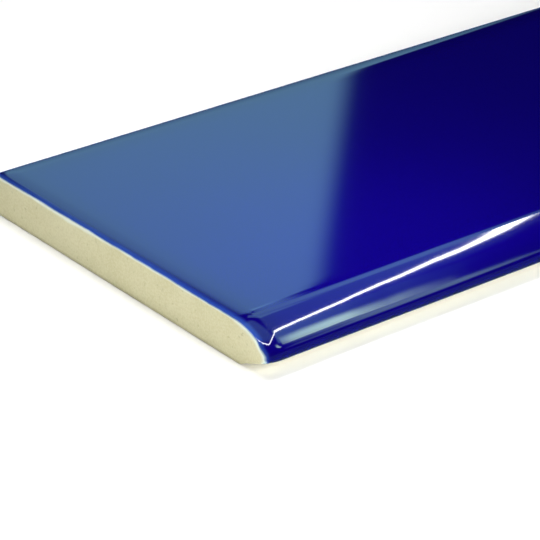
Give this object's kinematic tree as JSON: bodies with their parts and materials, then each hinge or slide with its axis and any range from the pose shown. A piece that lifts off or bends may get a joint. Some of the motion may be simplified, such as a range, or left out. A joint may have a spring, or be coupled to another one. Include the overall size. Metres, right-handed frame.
{
  "type": "bullnose ceramic tile",
  "caption": "Flat rectangular wall tile, glazed on its face, with a long edge rounded over as a bullnose, bare flat edges and a waffle back, for finishing the exposed edge of a tiled wall.",
  "frame": {"origin": "centre of the tile's outline, in the plane of its back, which it lies on", "axes": "+X along the rounded edge, +Z out of the glazed face; the rounded edge faces -Y"},
  "size_m": [0.1524, 0.0762, 0.0079],
  "materials": {
    "tile": "gloss"
  },
  "bodies": {
    "root": {"tile": "tile"}
  },
  "joints": []
}
